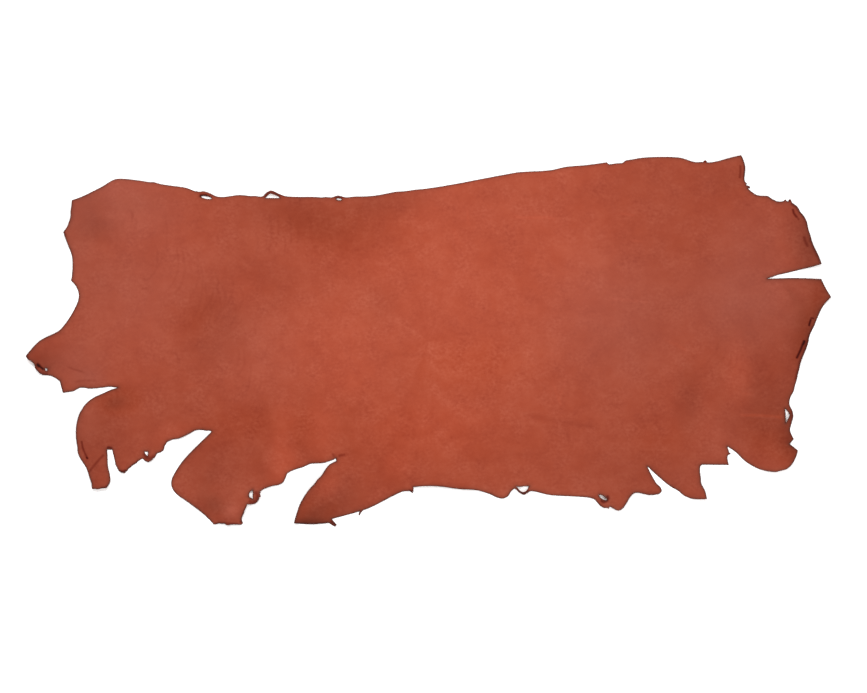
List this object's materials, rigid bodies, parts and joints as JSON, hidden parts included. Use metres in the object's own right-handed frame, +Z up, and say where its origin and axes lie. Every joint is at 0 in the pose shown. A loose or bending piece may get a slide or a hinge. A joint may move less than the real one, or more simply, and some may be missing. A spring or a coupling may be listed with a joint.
{
  "type": "leather hide",
  "caption": "Whole side of vegetable-tanned cow leather laid flat: straight backbone cut, ragged belly edge with leg lobes, notches and toggle holes.",
  "frame": {"origin": "on the surface that the hide lies on, below the middle of its bounding box", "axes": "+X along the backbone from neck to tail, +Y across the hide towards the backbone cut, +Z up out of the grain side"},
  "size_m": [2.414, 1.114, 0.0121],
  "materials": {
    "leather": "drum-dyed chestnut, smooth full grain with a low sheen; paler nap on the flesh side"
  },
  "bodies": {
    "root": {"hide": "leather"}
  },
  "joints": []
}
